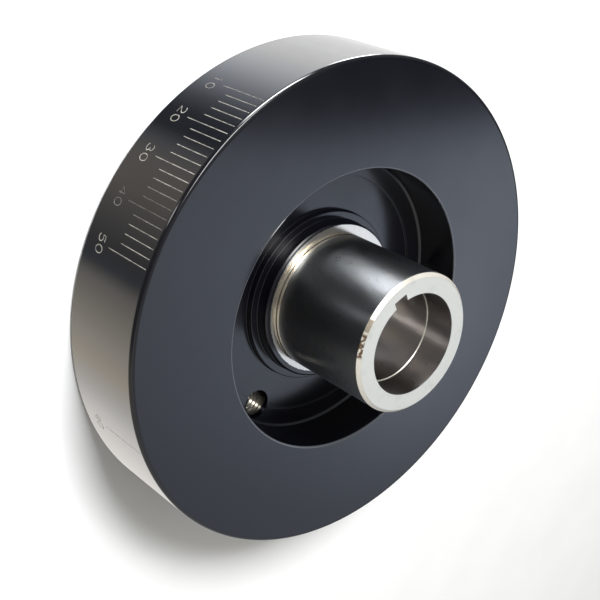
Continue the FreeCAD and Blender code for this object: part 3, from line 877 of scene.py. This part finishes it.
world = bpy.data.worlds.new("world")
bpy.context.scene.world = world
world.use_nodes = True
world.cycles.sampling_method = "NONE"
tree = world.node_tree
way = place_node(tree, "ShaderNodeTexCoord").outputs["Generated"]
parts = place_node(tree, "ShaderNodeSeparateXYZ", {0: way}).outputs
height = sums(tree, "DEGREES", sums(tree, "ARCSINE", parts["Z"]))
bearing = sums(tree, "DEGREES", sums(tree, "ARCTAN2", parts["Y"], parts["X"]))
climbed = sums(tree, "MAXIMUM", sums(tree, "SUBTRACT", height, LEAN_FROM), LEAN_LEAST)
lean = sums(tree, "MULTIPLY", climbed, LEAN)
leaning = spread(tree, height, 5, 30)
bearing = sums(tree, "ADD", bearing, sums(tree, "MULTIPLY", lean, leaning))
share = sums(tree, "DIVIDE", sums(tree, "ADD", bearing, 180.0), 360.0)
mirrored = None
for ring, stops in STUDIO.items():
    ramp = place_node(tree, "ShaderNodeValToRGB", {"Fac": share})
    elements = ramp.color_ramp.elements
    while len(elements) < len(stops):
        elements.new(0.5)
    for element, (degrees, level, warmth) in zip(elements, stops):
        element.position = (degrees + 180) / 360
        light = Vector((level * warmth ** TINT, level, level / warmth)) / BRIGHTEST
        element.color = (*light, 1)
    if mirrored is None:
        mirrored = ramp.outputs[0]
    else:
        inputs = {"Value": height, "From Min": below, "From Max": ring}
        climb = place_node(tree, "ShaderNodeMapRange", inputs).outputs[0]
        mirrored = mixed(tree, climb, mirrored, ramp.outputs[0])
    below = ring
for middle, leans, half_width, lowest, highest, softness, level in STRIPS:
    strip_bearing = sums(tree, "ADD", middle, sums(tree, "MULTIPLY", height, leans))
    aside = apart_from(tree, bearing, strip_bearing)
    across = spread(tree, aside, half_width, half_width + softness, 1.0, 0.0)
    above = spread(tree, height, lowest - STRIP_FADE, lowest)
    under = spread(tree, height, highest, highest + STRIP_FADE, 1.0, 0.0)
    share = sums(tree, "MULTIPLY", across, sums(tree, "MULTIPLY", above, under))
    mirrored = mixed(tree, share, mirrored, (level / BRIGHTEST,) * 3)
studio = place_node(tree, "ShaderNodeBackground", {"Color": mirrored, "Strength": BRIGHTEST})
DOME_COLOUR = (1, 0.985, 0.93, 1)
DOME_STRENGTH = 0.43
dome = tree.nodes["Background"]
dome.inputs["Color"].default_value = DOME_COLOUR
dome.inputs["Strength"].default_value = DOME_STRENGTH
glossy_ray = place_node(tree, "ShaderNodeLightPath").outputs["Is Glossy Ray"]
seen = place_node(tree, "ShaderNodeMixShader", {0: glossy_ray, 1: dome.outputs[0], 2: studio.outputs[0]})
tree.links.new(seen.outputs[0], tree.nodes["World Output"].inputs["Surface"])

# The soft box faces the balancer, and isn't mirrored.
KEY_BEARING = math.radians(74)
KEY_HEIGHT = math.radians(48)
KEY_DISTANCE = 0.9
KEY_SIZE = 0.3
KEY_RADIANCE = 40
KEY_COLOUR = (0.97, 0.985, 1)
key_light = bpy.data.lights.new("key_box", "AREA")
key_light.size = KEY_SIZE
key_light.energy = KEY_RADIANCE * math.pi * KEY_SIZE * KEY_SIZE
key_light.color = KEY_COLOUR
key_box = bpy.data.objects.new("key_box", key_light)
key_box.visible_camera = False
key_box.visible_glossy = False
bpy.context.scene.collection.objects.link(key_box)
level_share = math.cos(KEY_HEIGHT)
way = Vector((level_share * math.cos(KEY_BEARING), level_share * math.sin(KEY_BEARING), math.sin(KEY_HEIGHT)))
key_turn = way.to_track_quat("Z", "Y").to_matrix().to_4x4()
key_box.matrix_world = Matrix.Translation(way * KEY_DISTANCE) @ key_turn

scene = bpy.context.scene
scene.view_settings.view_transform = "Standard"
scene.cycles.use_denoising = True
